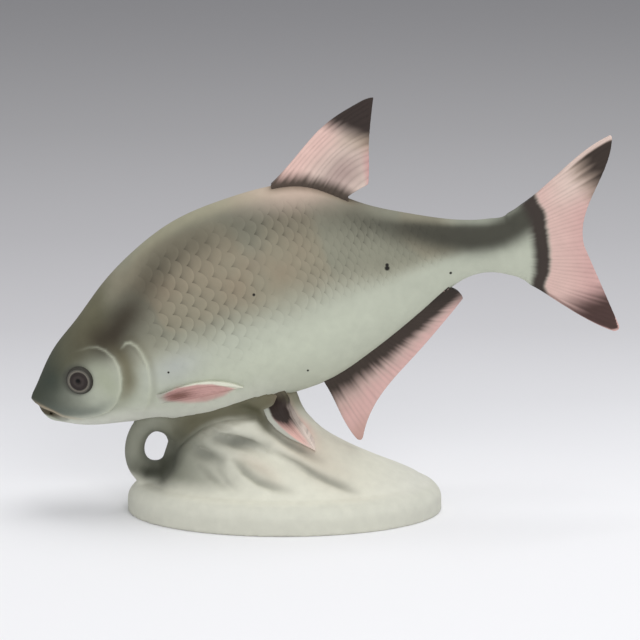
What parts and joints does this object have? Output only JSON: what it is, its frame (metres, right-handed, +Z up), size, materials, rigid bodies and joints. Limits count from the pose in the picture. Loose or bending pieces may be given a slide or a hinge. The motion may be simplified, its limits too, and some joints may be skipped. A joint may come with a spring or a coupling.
{
  "type": "fish figurine",
  "caption": "Matt porcelain figurine of a deep-bodied freshwater fish swimming nose down over a wave that rises from an oval plinth, hollow cast, free-standing.",
  "frame": {"origin": "middle of the overall length and depth, on the shelf the foot ring stands on", "axes": "+X from the head to the tail, +Y towards the fish's right side, +Z up"},
  "size_m": [0.3245, 0.1174, 0.2315],
  "materials": {
    "body_bisque": "matt, airbrushed olive-brown over celadon",
    "fin_bisque": "matt, airbrushed pink with dark brown roots and tips",
    "base_bisque": "matt, pale cream green"
  },
  "bodies": {
    "root": {"base_shell": "base_bisque", "wave_curl": "base_bisque", "body_shell": "body_bisque", "tail_fin": "fin_bisque", "dorsal_fin": "fin_bisque", "anal_fin": "fin_bisque", "pectoral_fin_left": "fin_bisque", "pectoral_fin_right": "fin_bisque", "pelvic_fin_left": "fin_bisque", "pelvic_fin_right": "fin_bisque"}
  },
  "joints": []
}
